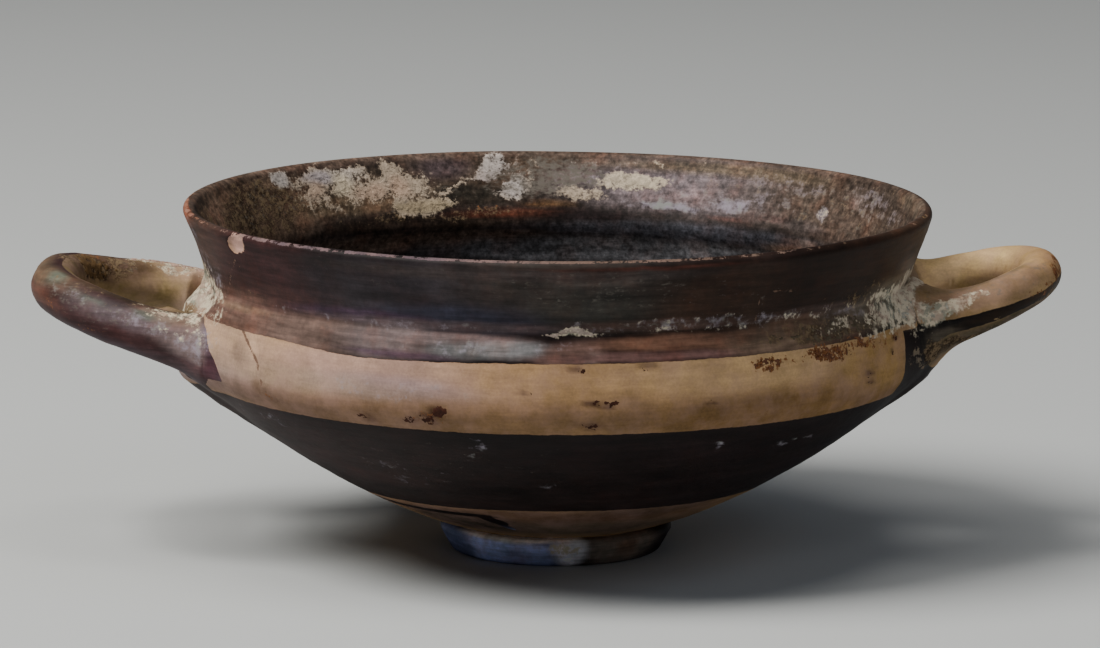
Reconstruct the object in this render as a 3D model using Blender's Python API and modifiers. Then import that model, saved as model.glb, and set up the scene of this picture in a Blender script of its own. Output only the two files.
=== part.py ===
"""Wheel-thrown drinking cup of fired clay, in metres with +Z up.

A turned bowl with an offset, flaring lip and a low ring foot carries two looped handles, and all of it
was fired as one piece. The origin lies on the surface that the cup stands on, midway between the outer
ends of the two handles.
"""
import math

import bmesh
import bpy
from mathutils import Vector

# The lip, a flare with a rounded rim above a sharp neck
NECK_RADIUS = 0.0705
LIP_FLARE = 0.0045
LIP_HEIGHT = 0.0145
RIM_THICKNESS = 0.0027
RIM_LEAN = math.radians(17)
NECK_LEAN = math.radians(16)

# The bowl, from the foot up to its widest line and in again to the neck
BELLY_HEIGHT = 0.0405
BELLY_BULGE = 0.0028
SHOULDER_HEIGHT = 0.0148
UNDERSIDE_SLOPE = math.radians(14.2)
WALL = 0.0036

# The ring foot, with a shelf outside and a shallow recess beneath
FOOT_RADIUS = 0.0229
FOOT_HEIGHT = 0.0057
FOOT_TAPER = 0.0015
FOOT_SHELF = 0.0024
FOOT_ROUNDING = 0.0011
REST_WIDTH = 0.0022
RECESS_DEPTH = 0.0042
RECESS_LEAN = 0.0014
FLOOR_THICKNESS = 0.0044

# The left handle, a wide loop of even rod
LEFT_OVERHANG = 0.0322
LEFT_SPREAD = 0.0517
LEFT_ROOT_DROP = 0.0128
LEFT_TIP_RISE = 0.0104
LEFT_TIP_ROD = 0.0092
LEFT_ROOT_ROD = 0.0103
LEFT_ROUNDNESS = 0.74
LEFT_PINCH = 0.01
LEFT_TURN = math.radians(3.3)
LEFT_FILLET = 0.0060

# The right handle, shorter, steeper and drawn in at its roots
RIGHT_OVERHANG = 0.0281
RIGHT_SPREAD = 0.0474
RIGHT_ROOT_DROP = 0.0091
RIGHT_TIP_RISE = 0.0098
RIGHT_TIP_ROD = 0.0083
RIGHT_ROOT_ROD = 0.0108
RIGHT_ROUNDNESS = 0.98
RIGHT_PINCH = 0.22
RIGHT_TURN = math.radians(2.5)
RIGHT_FILLET = 0.0090

# How far each rod runs on into the bowl before it is trimmed, and how the smeared clay ends: a little
# below the bowl's surface, with an edge that dips inwards by this much for each length along the wall
ROOT_SINK = 0.0090
SEAM_DEPTH = 0.00025
SEAM_DIVE = 0.9

# Proportions of the free curves, as shares of the stretch that each one spans
UNDERSIDE_PULL = 0.39
BELLY_PULL_BELOW = 0.21
BELLY_PULL_ABOVE = 0.45
SHOULDER_PULL = 0.22
SHOULDER_EASE = 0.50
LIP_PULL = 0.30
FLOOR_PULL = 0.35

# Fineness of the facets, with the rings of each rod drawn closer together towards its roots
TURN_STEPS = 60
RIM_STEPS = 6
LIP_STEPS = 5
SHOULDER_STEPS = 6
UNDERSIDE_STEPS = 10
FLOOR_STEPS = 4
ROUNDING_STEPS = 3
HANDLE_STEPS = 44
ROOT_CROWDING = 0.45
ROD_RESOLUTION = 3
WELD = 0.00002
FILLET_HALVINGS = 12

NECK_HEIGHT = BELLY_HEIGHT + SHOULDER_HEIGHT
RIM_HEIGHT = NECK_HEIGHT + LIP_HEIGHT
RIM_RADIUS = NECK_RADIUS + LIP_FLARE
BELLY_RADIUS = NECK_RADIUS + BELLY_BULGE
AXIS_X = (LEFT_OVERHANG - RIGHT_OVERHANG) / 2

OBJECT_NAME = "Skyphos"
CUTTERS_NAME = "Cutters"
CLAY_COLOUR = (0.052, 0.034, 0.028, 1.0)
CLAY_ROUGHNESS = 0.45


def clear_scene():
    """Removes whatever the scene holds."""
    for old in list(bpy.data.objects):
        bpy.data.objects.remove(old, do_unlink=True)


def new_collection(name):
    """A collection in the scene."""
    collection = bpy.data.collections.new(name)
    bpy.context.scene.collection.children.link(collection)
    return collection


def slipped_clay():
    """Fired clay under a thin dark slip with a dull sheen."""
    material = bpy.data.materials.new("slip_painted_clay")
    material.use_nodes = True
    shader = material.node_tree.nodes["Principled BSDF"]
    shader.inputs["Base Color"].default_value = CLAY_COLOUR
    shader.inputs["Roughness"].default_value = CLAY_ROUGHNESS
    shader.inputs["Metallic"].default_value = 0.0
    material.diffuse_color = CLAY_COLOUR
    return material


def stepped(point, length, angle):
    """The point a length away from another, at an angle up from +X."""
    return (point[0] + length * math.cos(angle), point[1] + length * math.sin(angle))


def cubic(start, start_pull, end_pull, end, count):
    """Points along a cubic curve between two ends, drawn towards two pull points."""
    points = []
    for step in range(count + 1):
        t = step / count
        weights = ((1 - t) ** 3, 3 * (1 - t) ** 2 * t, 3 * (1 - t) * t ** 2, t ** 3)
        corners = (start, start_pull, end_pull, end)
        points.append(tuple(sum(w * c[i] for w, c in zip(weights, corners)) for i in (0, 1)))
    return points


def arc(centre, radius, first_angle, last_angle, count):
    """Points along an arc, both ends included."""
    span = last_angle - first_angle
    return [stepped(centre, radius, first_angle + span * step / count) for step in range(count + 1)]


def rim_centre():
    """The middle of the rim's rounding."""
    return (RIM_RADIUS - RIM_THICKNESS / 2, RIM_HEIGHT - RIM_THICKNESS / 2)


def shelf_corner():
    """Where the bowl's underside meets the shelf on top of the foot."""
    return (FOOT_RADIUS - FOOT_SHELF, FOOT_HEIGHT)


def outer_side():
    """Radius and height down the outside, from below the rim to the top of the foot."""
    rim = stepped(rim_centre(), RIM_THICKNESS / 2, -RIM_LEAN)
    neck = (NECK_RADIUS, NECK_HEIGHT)
    belly = (BELLY_RADIUS, BELLY_HEIGHT)
    foot = shelf_corner()
    lip_length = LIP_PULL * LIP_HEIGHT
    lip = cubic(
        rim,
        stepped(rim, lip_length, -math.pi / 2 - RIM_LEAN),
        stepped(neck, lip_length, math.pi / 2 - NECK_LEAN),
        neck,
        LIP_STEPS,
    )
    shoulder = cubic(
        neck,
        (NECK_RADIUS + SHOULDER_EASE * BELLY_BULGE, NECK_HEIGHT - SHOULDER_PULL * SHOULDER_HEIGHT),
        (BELLY_RADIUS, BELLY_HEIGHT + BELLY_PULL_ABOVE * SHOULDER_HEIGHT),
        belly,
        SHOULDER_STEPS,
    )
    underside = cubic(
        belly,
        (BELLY_RADIUS, BELLY_HEIGHT - BELLY_PULL_BELOW * (BELLY_HEIGHT - FOOT_HEIGHT)),
        stepped(foot, UNDERSIDE_PULL * (BELLY_RADIUS - foot[0]), UNDERSIDE_SLOPE),
        foot,
        UNDERSIDE_STEPS,
    )
    return lip + shoulder[1:] + underside[1:]


def inset(points, share):
    """The points moved into the clay by a share of its thickness, which grows from the rim to the neck."""
    moved = []
    last = len(points) - 1
    for index, point in enumerate(points):
        before = points[max(index - 1, 0)]
        after = points[min(index + 1, last)]
        angle = math.atan2(after[1] - before[1], after[0] - before[0])
        if index == 0:
            angle = -math.pi / 2 - RIM_LEAN
        below_rim = min((points[0][1] - point[1]) / (points[0][1] - NECK_HEIGHT), 1.0)
        thickness = RIM_THICKNESS + (WALL - RIM_THICKNESS) * below_rim
        moved.append(stepped(point, share * thickness, angle - math.pi / 2))
    return moved


def inner_side():
    """Radius and height from the middle of the floor up the inside to below the rim."""
    wall = inset(outer_side(), 1.0)
    foot_end = wall[-1]
    middle = (0.0, RECESS_DEPTH + FLOOR_THICKNESS)
    pull = FLOOR_PULL * foot_end[0]
    rising = stepped(foot_end, pull, math.pi + UNDERSIDE_SLOPE)
    floor = cubic(middle, (pull, middle[1]), rising, foot_end, FLOOR_STEPS)
    return floor + wall[-2::-1]


def foot_side():
    """Radius and height round the foot, from its shelf to the middle of the recess."""
    top = (FOOT_RADIUS - FOOT_ROUNDING, FOOT_HEIGHT - FOOT_ROUNDING)
    bottom = (FOOT_RADIUS - FOOT_TAPER - FOOT_ROUNDING, FOOT_ROUNDING)
    taper = math.atan2(FOOT_TAPER, top[1] - bottom[1])
    outside = arc(top, FOOT_ROUNDING, math.pi / 2, -taper, ROUNDING_STEPS)
    outside += arc(bottom, FOOT_ROUNDING, -taper, -math.pi / 2, ROUNDING_STEPS)
    rest_end = (bottom[0] - REST_WIDTH, 0.0)
    roof = (rest_end[0] - RECESS_LEAN, RECESS_DEPTH - FOOT_ROUNDING)
    corner = arc((roof[0] - FOOT_ROUNDING, roof[1]), FOOT_ROUNDING, 0.0, math.pi / 2, ROUNDING_STEPS)
    return outside + [rest_end] + corner + [(0.0, RECESS_DEPTH)]


def bowl_profile():
    """The whole section: up the inside, over the rim, down the outside and under the foot."""
    rim = arc(rim_centre(), RIM_THICKNESS / 2, math.pi - RIM_LEAN, -RIM_LEAN, RIM_STEPS)
    return inner_side() + rim[1:-1] + outer_side() + foot_side()


def seat_profile():
    """The section of the solid that ends each handle halfway through the wall."""
    wall = inset(outer_side(), 0.5)
    return [(0.0, wall[0][1])] + wall + [(0.0, wall[-1][1])]


def clearance(radius, height, wall):
    """How far a point stands out from the bowl's outer side, negative within the clay."""
    nearest = math.inf
    signed = math.inf
    for start, end in zip(wall, wall[1:]):
        run = (end[0] - start[0], end[1] - start[1])
        along = (radius - start[0]) * run[0] + (height - start[1]) * run[1]
        share = min(max(along / (run[0] ** 2 + run[1] ** 2), 0.0), 1.0)
        gap = (radius - start[0] - share * run[0], height - start[1] - share * run[1])
        distance = math.hypot(*gap)
        if distance < nearest:
            nearest = distance
            signed = math.copysign(distance, gap[1] * run[0] - gap[0] * run[1])
    return signed


def fillet_rise(distance, fillet):
    """How far a hollow quarter round stands off the rod, at a distance from the bowl, less again within it."""
    if distance < 0:
        return max(fillet + SEAM_DIVE * distance, 0.0)
    inside = max(fillet - distance, 0.0)
    return fillet - math.sqrt(fillet ** 2 - inside ** 2)


def filleted_radius(centre, outward, radius, fillet, wall):
    """The rod's radius along one spoke with the corner between rod and bowl filled, found by halving."""
    lowest = radius
    highest = radius + fillet
    for _ in range(FILLET_HALVINGS):
        middle = (lowest + highest) / 2
        point = centre + outward * middle
        distance = clearance(math.hypot(point.x, point.y), point.z, wall) + SEAM_DEPTH
        if radius + fillet_rise(distance, fillet) > middle:
            lowest = middle
        else:
            highest = middle
    return lowest


def smear_roots(rod, route, fillet):
    """Fills the corner round each root below the neck, by moving the rod's points out from its own middle."""
    wall = outer_side()[LIP_STEPS:]
    centres = [Vector(point[:3]) for point in route]
    for vertex in rod.verts:
        centre = min(centres, key=lambda middle: (vertex.co - middle).length)
        spoke = vertex.co - centre
        outward = spoke.normalized()
        vertex.co = centre + outward * filleted_radius(centre, outward, spoke.length, fillet, wall)


def turned(name, profile, collection):
    """A closed solid turned from its section about the cup's axis."""
    mesh = bpy.data.meshes.new(name)
    points = [(radius, 0.0, height) for radius, height in profile]
    edges = [(index, index + 1) for index in range(len(points) - 1)]
    mesh.from_pydata(points, edges, [])
    solid = bpy.data.objects.new(name, mesh)
    solid.location.x = AXIS_X
    collection.objects.link(solid)
    screw = solid.modifiers.new("Turned", "SCREW")
    screw.steps = TURN_STEPS
    screw.render_steps = TURN_STEPS
    screw.use_merge_vertices = True
    screw.merge_threshold = WELD
    screw.use_smooth_shade = True
    return solid


def handle_route(side, overhang, spread, root_drop, tip_rise, tip_rod, root_rod, roundness, pinch, turn):
    """Points and radii of a loop that leaves the wall, rises to its tip and comes back to the wall.

    With an angle from -90 to 90 degrees, the reach and the rise go with its cosine, and the place across
    goes with its sine raised to the roundness, drawn in by the pinch near both roots. The angles are spread
    so that the points lie evenly round the tip and closer together at the roots.
    """
    root_half = spread / 2 * (1 - pinch)
    start = math.sqrt((BELLY_RADIUS - WALL) ** 2 - root_half ** 2)
    tip = BELLY_RADIUS + overhang - tip_rod / 2
    route = []
    for step in range(HANDLE_STEPS + 1):
        even = 2 * step / HANDLE_STEPS - 1
        place = even + ROOT_CROWDING * math.sin(math.pi * even) / math.pi
        angle = math.copysign(math.pi / 2 * abs(place) ** (1 / roundness), place)
        share = math.cos(angle)
        bow = math.copysign(abs(math.sin(angle)) ** roundness, angle)
        across = spread / 2 * bow * (1 - pinch * (1 - share) ** 2)
        out = start + (tip - start) * share
        height = NECK_HEIGHT - root_drop + tip_rise * share
        radius = (root_rod + (tip_rod - root_rod) * share) / 2
        x = side * (out * math.cos(turn) - across * math.sin(turn))
        y = out * math.sin(turn) + across * math.cos(turn)
        route.append((x, y, height, radius))
    sink = -side * ROOT_SINK
    ends = [(x + sink, y, height, radius) for x, y, height, radius in (route[0], route[-1])]
    return [ends[0]] + route + [ends[1]]


def rod_along(name, route, fillet, collection):
    """A round rod of changing thickness along a route, filleted to the bowl, as a closed mesh."""
    curve = bpy.data.curves.new(name, "CURVE")
    curve.dimensions = "3D"
    curve.bevel_depth = 1.0
    curve.bevel_resolution = ROD_RESOLUTION
    curve.use_fill_caps = True
    spline = curve.splines.new("POLY")
    spline.points.add(len(route) - 1)
    for point, (x, y, height, radius) in zip(spline.points, route):
        point.co = (x, y, height, 1.0)
        point.radius = radius
    drawn = bpy.data.objects.new(name + "_route", curve)
    drawn.location.x = AXIS_X
    collection.objects.link(drawn)
    bpy.context.view_layer.update()
    evaluated = drawn.evaluated_get(bpy.context.evaluated_depsgraph_get())
    mesh = bpy.data.meshes.new_from_object(evaluated)
    welded = bmesh.new()
    welded.from_mesh(mesh)
    bmesh.ops.remove_doubles(welded, verts=welded.verts, dist=WELD)
    smear_roots(welded, route, fillet)
    welded.to_mesh(mesh)
    welded.free()
    mesh.shade_smooth()
    rod = bpy.data.objects.new(name, mesh)
    rod.matrix_world = drawn.matrix_world.copy()
    collection.objects.link(rod)
    bpy.data.objects.remove(drawn, do_unlink=True)
    return rod


def guide(solid):
    """Keeps a solid out of the model, for use in a Boolean only."""
    solid.hide_render = True
    solid.display_type = "WIRE"
    return solid


def boolean(solid, operation, other):
    """Cuts or joins one solid with another."""
    modifier = solid.modifiers.new(operation.title() + " " + other.name, "BOOLEAN")
    modifier.operation = operation
    modifier.solver = "EXACT"
    modifier.object = other


def build():
    """The cup, with its handles joined to the turned bowl."""
    clear_scene()
    parts = new_collection(OBJECT_NAME)
    cutters = new_collection(CUTTERS_NAME)
    seat = guide(turned("handle_seat", seat_profile(), cutters))
    left = handle_route(
        -1, LEFT_OVERHANG, LEFT_SPREAD, LEFT_ROOT_DROP, LEFT_TIP_RISE, LEFT_TIP_ROD, LEFT_ROOT_ROD,
        LEFT_ROUNDNESS, LEFT_PINCH, LEFT_TURN,
    )
    right = handle_route(
        1, RIGHT_OVERHANG, RIGHT_SPREAD, RIGHT_ROOT_DROP, RIGHT_TIP_RISE, RIGHT_TIP_ROD, RIGHT_ROOT_ROD,
        RIGHT_ROUNDNESS, RIGHT_PINCH, RIGHT_TURN,
    )
    cup = turned("skyphos", bowl_profile(), parts)
    cup.data.materials.append(slipped_clay())
    for name, route, fillet in (
        ("left_handle", left, LEFT_FILLET),
        ("right_handle", right, RIGHT_FILLET),
    ):
        rod = guide(rod_along(name, route, fillet, cutters))
        boolean(rod, "DIFFERENCE", seat)
        boolean(cup, "UNION", rod)


build()
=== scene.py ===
import bmesh
import bpy
import numpy as np
from mathutils import Matrix, Vector


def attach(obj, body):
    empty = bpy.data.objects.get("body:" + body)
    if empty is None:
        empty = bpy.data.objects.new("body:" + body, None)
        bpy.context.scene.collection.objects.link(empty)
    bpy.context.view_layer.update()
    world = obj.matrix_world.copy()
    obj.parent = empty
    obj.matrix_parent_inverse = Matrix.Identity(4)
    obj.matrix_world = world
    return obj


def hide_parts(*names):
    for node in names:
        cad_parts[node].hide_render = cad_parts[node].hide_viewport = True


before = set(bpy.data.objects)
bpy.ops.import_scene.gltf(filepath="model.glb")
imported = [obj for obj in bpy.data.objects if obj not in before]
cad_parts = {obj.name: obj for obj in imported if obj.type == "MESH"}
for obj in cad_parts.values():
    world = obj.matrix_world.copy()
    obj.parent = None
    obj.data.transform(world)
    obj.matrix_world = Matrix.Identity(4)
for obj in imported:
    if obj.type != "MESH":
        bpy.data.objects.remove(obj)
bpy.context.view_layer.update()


# The cup. One piece of fired buff clay: a bowl thrown on the wheel, with a turned foot and two rolled
# handles that were luted on while it was leather hard. Bands of thin iron-bearing slip were brushed on
# as it turned. Its sizes are those of the solid that it stands for, in millimetres.
NECK_RADIUS, LIP_FLARE, LIP_HEIGHT = 70.5, 4.5, 14.5
RIM_THICKNESS, WALL = 2.7, 3.6
RIM_LEAN, NECK_LEAN, UNDERSIDE_SLOPE = np.radians([17, 16, 14.2])
BELLY_HEIGHT, BELLY_BULGE, SHOULDER_HEIGHT = 40.5, 2.8, 14.8
FOOT_RADIUS, FOOT_HEIGHT, FOOT_TAPER, FOOT_SHELF, FOOT_ROUNDING = 22.9, 5.7, 1.5, 2.4, 1.1
REST_WIDTH, RECESS_DEPTH, RECESS_LEAN, FLOOR_THICKNESS = 2.2, 4.2, 1.4, 4.4
HANDLES = {
    "left": dict(
        side=-1, overhang=32.2, spread=51.7, root_drop=12.8, tip_rise=10.4, tip_rod=9.2, root_rod=10.3,
        roundness=0.74, pinch=0.01, turn=np.radians(3.3), fillet=6.0, sag=-0.5, lift=1.0, web=9.0,
    ),
    "right": dict(
        side=1, overhang=28.1, spread=47.4, root_drop=9.1, tip_rise=9.8, tip_rod=8.3, root_rod=10.8,
        roundness=0.98, pinch=0.22, turn=np.radians(2.5), fillet=9.0, sag=0.0, lift=0.2, web=5.0,
    ),
}
ROOT_SINK = 9.0
NECK_HEIGHT = BELLY_HEIGHT + SHOULDER_HEIGHT
RIM_HEIGHT = NECK_HEIGHT + LIP_HEIGHT
RIM_RADIUS = NECK_RADIUS + LIP_FLARE
BELLY_RADIUS = NECK_RADIUS + BELLY_BULGE
AXIS_X = (HANDLES["left"]["overhang"] - HANDLES["right"]["overhang"]) / 2
MM = 0.001
LIP_STEPS, SHOULDER_STEPS, UNDERSIDE_STEPS = 60, 60, 100
SIDES = ("outside", "inside", "left", "right")

# What the hand, the fire and the knocks did to it: how far the lip sank in at the left, the rim's rise and
# its azimuth, the wavering of wall and rim, the spacing and depth of throwing lines and trimming marks, the
# swell of the foot, the kneading of the handles by lump and depth, and the round spall on the lip as its
# azimuth, height, half sizes and slant
LIP_SAG, RIM_RISE, RIM_RISE_AT = 0.9, 0.5, 140
WALL_WAVER, RIM_WAVER = 0.16, 0.10
THROWN_EVERY, THROWN_DEEP, TRIMMED_EVERY, TRIMMED_DEEP = 1.1, 0.035, 4.2, 0.05
FOOT_SWELL = 0.55
KNEADING = ((7.0, 0.16, 11), (2.6, 0.07, 12))
SPALL, SPALL_DEPTH = (-146.7, 67.6, 2.25, 1.8, 0.5), 0.5


def stepped(point, length, angle):
    """The point a length away from another, at an angle up from the radius."""
    return np.array([point[0] + length * np.cos(angle), point[1] + length * np.sin(angle)])


def cubic(start, start_pull, end_pull, end, steps):
    """A cubic curve between two ends, drawn towards two pull points, as rows of radius and height."""
    t = np.linspace(0, 1, steps + 1)[:, None]
    corners = [np.asarray(corner, float) for corner in (start, start_pull, end_pull, end)]
    weights = ((1 - t) ** 3, 3 * (1 - t) ** 2 * t, 3 * (1 - t) * t ** 2, t ** 3)
    return sum(weight * corner for weight, corner in zip(weights, corners))


def arc(centre, radius, first, last, steps):
    """Points along an arc, both ends included."""
    angle = np.linspace(first, last, steps + 1)
    return np.stack([centre[0] + radius * np.cos(angle), centre[1] + radius * np.sin(angle)], 1)


def inset(wall, share):
    """The outer side moved into the clay by a share of its thickness, which grows from rim to neck."""
    run = np.gradient(wall, axis=0)
    angle = np.arctan2(run[:, 1], run[:, 0]) - np.pi / 2
    below = np.minimum((wall[0, 1] - wall[:, 1]) / (wall[0, 1] - NECK_HEIGHT), 1)
    depth = share * (RIM_THICKNESS + (WALL - RIM_THICKNESS) * below)
    return wall + depth[:, None] * np.stack([np.cos(angle), np.sin(angle)], 1)


# The cup's section, from the middle of its floor up the inside, over the rim, down the outside and round
# the foot, as short straight runs with their travel along it
rim_middle = (RIM_RADIUS - RIM_THICKNESS / 2, RIM_HEIGHT - RIM_THICKNESS / 2)
rim_side = stepped(rim_middle, RIM_THICKNESS / 2, -RIM_LEAN)
neck, belly = (NECK_RADIUS, NECK_HEIGHT), (BELLY_RADIUS, BELLY_HEIGHT)
shelf = (FOOT_RADIUS - FOOT_SHELF, FOOT_HEIGHT)
lip_pull = 0.30 * LIP_HEIGHT
LIP = cubic(
    rim_side, stepped(rim_side, lip_pull, -np.pi / 2 - RIM_LEAN),
    stepped(neck, lip_pull, np.pi / 2 - NECK_LEAN), neck, LIP_STEPS,
)
SHOULDER = cubic(
    neck, (NECK_RADIUS + 0.50 * BELLY_BULGE, NECK_HEIGHT - 0.22 * SHOULDER_HEIGHT),
    (BELLY_RADIUS, BELLY_HEIGHT + 0.45 * SHOULDER_HEIGHT), belly, SHOULDER_STEPS,
)
UNDERSIDE = cubic(
    belly, (BELLY_RADIUS, BELLY_HEIGHT - 0.21 * (BELLY_HEIGHT - FOOT_HEIGHT)),
    stepped(shelf, 0.39 * (BELLY_RADIUS - shelf[0]), UNDERSIDE_SLOPE), shelf, UNDERSIDE_STEPS,
)
OUTER = np.vstack([LIP, SHOULDER[1:], UNDERSIDE[1:]])
INNER = inset(OUTER, 1.0)[::-1]
HALF_WALL = inset(OUTER, 0.5)
floor_middle = (0, RECESS_DEPTH + FLOOR_THICKNESS)
floor_pull = 0.35 * INNER[0, 0]
FLOOR = cubic(
    floor_middle, (floor_pull, floor_middle[1]), stepped(INNER[0], floor_pull, np.pi + UNDERSIDE_SLOPE),
    INNER[0], 60,
)
RIM = arc(rim_middle, RIM_THICKNESS / 2, np.pi - RIM_LEAN, -RIM_LEAN, 24)
foot_top = (FOOT_RADIUS - FOOT_ROUNDING, FOOT_HEIGHT - FOOT_ROUNDING)
foot_bottom = (FOOT_RADIUS - FOOT_TAPER - FOOT_ROUNDING, FOOT_ROUNDING)
taper = np.arctan2(FOOT_TAPER, foot_top[1] - foot_bottom[1])
rest_end = (foot_bottom[0] - REST_WIDTH, 0.0)
roof = (rest_end[0] - RECESS_LEAN - FOOT_ROUNDING, RECESS_DEPTH - FOOT_ROUNDING)
FOOT = np.vstack([
    arc(foot_top, FOOT_ROUNDING, np.pi / 2, -taper, 6),
    arc(foot_bottom, FOOT_ROUNDING, -taper, -np.pi / 2, 6),
    [rest_end],
    arc(roof, FOOT_ROUNDING, 0, np.pi / 2, 5),
    [(0.0, RECESS_DEPTH)],
])
SECTION = np.vstack([FLOOR, INNER[1:], RIM[1:-1], OUTER, FOOT])
TRAVEL = np.concatenate([[0], np.cumsum(np.hypot(*np.diff(SECTION, axis=0).T))])
inside_row = len(FLOOR) + len(INNER) - 2
outside_row = inside_row + len(RIM) - 1
shelf_row = outside_row + LIP_STEPS + SHOULDER_STEPS + UNDERSIDE_STEPS
INSIDE_TOP, OUTSIDE_TOP, SHELF_TRAVEL = TRAVEL[[inside_row, outside_row, shelf_row]]
NECK_TRAVEL, BELLY_TRAVEL = TRAVEL[[outside_row + LIP_STEPS, shelf_row - UNDERSIDE_STEPS]]


def grain(points, size, seed):
    """Smooth random values from -1 to 1 that change over a size: hashed lattice corners, blended."""
    place = np.asarray(points, float) / size + 37.7 * seed
    cell = np.floor(place).astype(np.int64)
    part = place - cell
    part = part * part * (3 - 2 * part)
    total = np.zeros(place.shape[:-1])
    for corner in range(8):
        offset = np.array([corner & 1, corner >> 1 & 1, corner >> 2 & 1])
        lattice = cell + offset
        code = lattice[..., 0] * 73856093 ^ lattice[..., 1] * 19349663 ^ lattice[..., 2] * 83492791
        code = (code ^ seed * 40503) & 0xFFFFFFFF
        code = ((code ^ code >> 15) * 73244475) & 0xFFFFFFFF
        code = ((code ^ code >> 13) * 73244475) & 0xFFFFFFFF
        value = (code >> 8 & 0xFFFF) / 32767.5 - 1
        total += value * np.prod(np.where(offset == 1, part, 1 - part), axis=-1)
    return total


def smooth(low, high, value):
    """A share that eases from 0 at low to 1 at high."""
    share = np.clip((value - low) / (high - low), 0, 1)
    return share * share * (3 - 2 * share)


def blots(across, along, rows):
    """The strongest of some soft ovals. A row has the middle in degrees and height, two half sizes, a
    strength, which is 1 where it has none, and sometimes a slant, in degrees for each millimetre up."""
    total = np.zeros(np.broadcast(across, along).shape)
    for middle, height, wide, tall, *more in rows:
        strength, slant = more + [1, 0][len(more):]
        over = (across - middle + 180) % 360 - 180 - slant * (along - height)
        reach = np.hypot(over / wide, (along - height) / tall)
        total = np.maximum(total, strength * smooth(1.5, 0.5, reach))
    return total


def uneven(azimuth, height, radius):
    """What the hand and the fire did to the bowl: how far its wall leans out and how far its rim rises."""
    turn = np.radians(azimuth)
    up = np.clip((height - NECK_HEIGHT) / LIP_HEIGHT, 0, 1)
    west = np.clip(0.5 - 0.5 * np.cos(turn), 0, 1) ** 2
    wave = np.stack([np.cos(turn), np.sin(turn), 0.012 * height], -1)
    out = -LIP_SAG * west * 4 * up * (1 - up) + WALL_WAVER * grain(wave, 0.55, 3) * radius / 70
    rise = RIM_RISE * up * np.clip(np.cos(turn - np.radians(RIM_RISE_AT)), 0, 1) ** 2
    return out, rise + RIM_WAVER * up * grain(wave, 0.3, 4)


def from_spall(azimuth, height):
    """How far a point is from the middle of the spall, as a share of the spall's half size."""
    middle, level, wide, tall, slant = SPALL
    over = (azimuth - middle + 180) % 360 - 180 - slant * (height - level)
    return np.hypot(over / wide, (height - level) / tall)


def skin(azimuth, travel, height):
    """Fine unevenness along the bowl's normal: throwing lines, broad trimming marks and the round spall."""
    turn = np.radians(azimuth)
    lines = np.stack([1.6 * np.cos(turn), 1.6 * np.sin(turn), travel / THROWN_EVERY], -1)
    broad = np.stack([1.2 * np.cos(turn), 1.2 * np.sin(turn), travel / TRIMMED_EVERY], -1)
    depth = THROWN_DEEP * grain(lines, 1, 5) + TRIMMED_DEEP * grain(broad, 1, 6)
    ragged = 0.12 * grain(np.stack([azimuth, height * 1.3, 0 * azimuth], -1), 0.9, 7)
    reach = from_spall(azimuth, height) + ragged
    return depth - np.where(travel > OUTSIDE_TOP - 1.4, SPALL_DEPTH * smooth(1.12, 0.86, reach), 0)


def bowl_surface(azimuth, travel):
    """Points of the bowl's skin: the section at a travel along it, turned to each azimuth, and uneven.

    The unevenness dies out towards the axis and towards the surface that the cup stands on.
    """
    azimuth, travel = np.broadcast_arrays(azimuth, travel)
    run = np.gradient(SECTION, axis=0)
    run = run / np.hypot(*run.T)[:, None]
    radius, height, out_z, out_r = (
        np.interp(travel, TRAVEL, values) for values in (SECTION[:, 0], SECTION[:, 1], run[:, 0], -run[:, 1])
    )
    depth = skin(azimuth, travel, height)
    leaning, rising = uneven(azimuth, height, radius)
    swell = np.sin(np.pi * np.clip(height / FOOT_HEIGHT, 0, 1))
    leaning = leaning + FOOT_SWELL * np.where(travel > SHELF_TRAVEL, swell, 0)
    middle = np.minimum(radius / 15, 1)
    standing = smooth(0.5, 3.0, height)
    turn = np.radians(azimuth)
    radius = radius + (leaning + depth * out_r) * middle * standing
    height = height + rising + depth * out_z * middle * standing
    return np.stack([AXIS_X + radius * np.cos(turn), radius * np.sin(turn), height], -1)


def clearance(radius, height, wall):
    """How far points stand out from a section line of the bowl, negative on its clay side."""
    start, run = wall[:-1], np.diff(wall, axis=0)
    gap_r = radius[..., None] - start[:, 0]
    gap_z = height[..., None] - start[:, 1]
    share = np.clip((gap_r * run[:, 0] + gap_z * run[:, 1]) / (run ** 2).sum(1), 0, 1)
    gap_r = gap_r - share * run[:, 0]
    gap_z = gap_z - share * run[:, 1]
    distance = np.hypot(gap_r, gap_z)
    nearest = distance.argmin(-1)[..., None]
    side = np.take_along_axis(gap_z * run[:, 0] - gap_r * run[:, 1], nearest, -1)[..., 0]
    return np.copysign(np.take_along_axis(distance, nearest, -1)[..., 0], side)


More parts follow.
